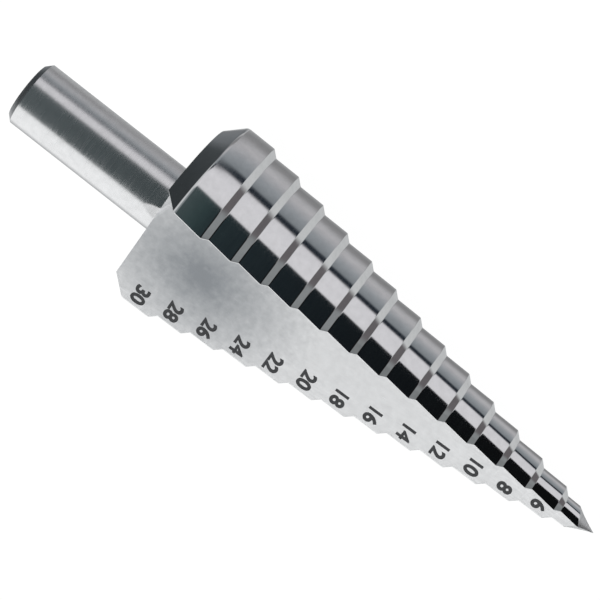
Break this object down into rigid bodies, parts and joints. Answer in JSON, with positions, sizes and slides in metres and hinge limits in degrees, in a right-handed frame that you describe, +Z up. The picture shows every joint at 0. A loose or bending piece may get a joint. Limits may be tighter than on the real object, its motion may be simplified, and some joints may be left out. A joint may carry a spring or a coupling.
{
  "type": "step drill",
  "caption": "Step drill for sheet metal: a stepped cone of cutting lands with straight flutes and a plain round shank.",
  "frame": {"origin": "middle of the footprint, on the surface that the drill lies on", "axes": "+X towards the shank's end along the drill's length, the tip at the other end; +Z up. The axis climbs 7 degrees towards the shank."},
  "size_m": [0.0988, 0.03, 0.0205],
  "materials": {
    "ground_steel": "bright ground"
  },
  "bodies": {
    "root": {"step_drill": "ground_steel"}
  },
  "joints": []
}
